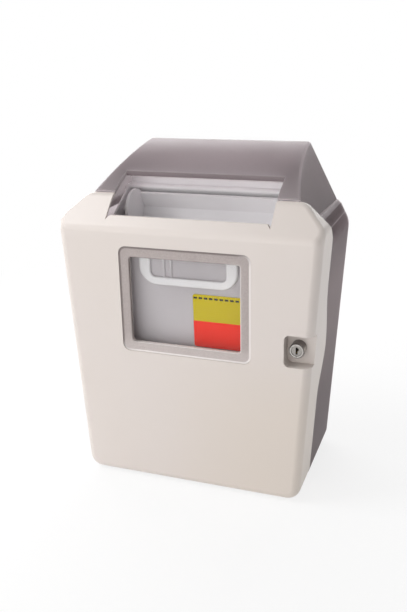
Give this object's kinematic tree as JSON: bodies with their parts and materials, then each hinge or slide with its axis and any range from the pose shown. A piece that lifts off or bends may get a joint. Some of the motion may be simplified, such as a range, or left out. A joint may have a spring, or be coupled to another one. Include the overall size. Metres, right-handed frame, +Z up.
{
  "type": "sharps collector wall cabinet",
  "caption": "Locking wall cabinet with a tapered moulded door, clear window, cam lock and smoked hood over the inlet, holding a sharps collector with a tipping drop tray.",
  "frame": {"origin": "centre of the back shell's flat underside", "axes": "+X to the right seen from the front, +Y towards the wall, +Z up"},
  "size_m": [0.3167, 0.1624, 0.3909],
  "materials": {
    "beige_moulding": "satin moulded",
    "smoke_moulding": "translucent smoked",
    "clear_window": "clear",
    "natural_moulding": "milky translucent",
    "plated_lock": "polished plating",
    "plain_steel": "plain",
    "brass_wafer": "stamped",
    "label_film": "printed film in two plain colours"
  },
  "bodies": {
    "cabinet": {"back_shell": "smoke_moulding", "hood": "smoke_moulding", "hinge_pin_lower": "plain_steel", "hinge_pin_upper": "plain_steel", "collector_tub": "natural_moulding", "collector_lid": "natural_moulding", "collector_label": "label_film"},
    "door": {"door": "beige_moulding", "window_pane": "clear_window", "lock_barrel": "plated_lock", "lock_washer": "plain_steel", "lock_nut": "plain_steel"},
    "lock_core": {"lock_plug": "plated_lock", "lock_cam": "plain_steel", "cam_screw": "plain_steel", "lock_wafer_1": "brass_wafer", "lock_wafer_2": "brass_wafer", "lock_wafer_3": "brass_wafer", "lock_wafer_4": "brass_wafer", "lock_wafer_5": "brass_wafer"},
    "tray": {"drop_tray": "natural_moulding"}
  },
  "joints": [
    {"name": "door_swing", "type": "hinge", "parent": "cabinet", "child": "door", "pos_m": [-0.1583, -0.0525, 0.17], "axis": [0, 0, -1], "range_deg": [0, 110]},
    {"name": "lock_turn", "type": "hinge", "parent": "door", "child": "lock_core", "pos_m": [0.12743, -0.0919, 0.1875], "axis": [0, -1, 0], "range_deg": [0, 90]},
    {"name": "tray_tip", "type": "hinge", "parent": "cabinet", "child": "tray", "pos_m": [0, -0.0315, 0.3165], "axis": [1, 0, 0], "range_deg": [0, 100]}
  ]
}
